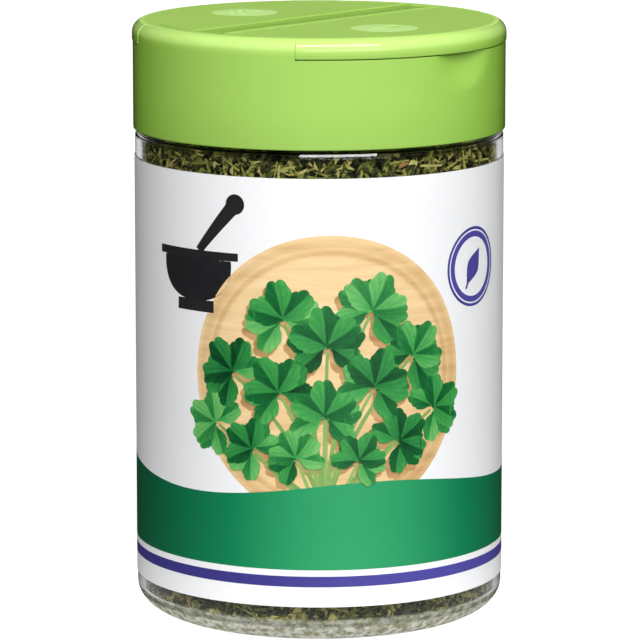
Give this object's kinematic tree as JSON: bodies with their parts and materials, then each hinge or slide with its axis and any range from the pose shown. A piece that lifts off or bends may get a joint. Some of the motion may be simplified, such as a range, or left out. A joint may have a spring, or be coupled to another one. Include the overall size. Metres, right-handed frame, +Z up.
{
  "type": "spice jar of dried coriander leaf",
  "caption": "Clear round jar of dried green leaf with a wrap label and a screw cap whose flaps open onto shaker holes on one side and a pour opening on the other.",
  "frame": {"origin": "centre of the jar's base, on the surface it stands on", "axes": "+Z up the jar's axis, -Y towards the middle of the label's front, +X to the right of someone facing that front"},
  "size_m": [0.0704, 0.0704, 0.1131],
  "materials": {
    "clear_plastic": "clear and glossy",
    "label_film": "printed and varnished",
    "dried_leaf": "dry and matte",
    "green_plastic": "satin"
  },
  "bodies": {
    "jar_and_cap": {"jar": "clear_plastic", "label": "label_film", "dried_leaves": "dried_leaf", "cap": "green_plastic"},
    "pour_flap": {"pour_flap": "green_plastic"},
    "shaker_flap": {"shaker_flap": "green_plastic"}
  },
  "joints": [
    {"name": "pour_flap_hinge", "type": "hinge", "parent": "jar_and_cap", "child": "pour_flap", "pos_m": [0.0024, -0.00205, 0.1125], "axis": [-0.6494, -0.7604, 0], "range_deg": [0, 94]},
    {"name": "shaker_flap_hinge", "type": "hinge", "parent": "jar_and_cap", "child": "shaker_flap", "pos_m": [-0.0024, 0.00205, 0.1125], "axis": [0.6494, 0.7604, 0], "range_deg": [0, 94]}
  ]
}
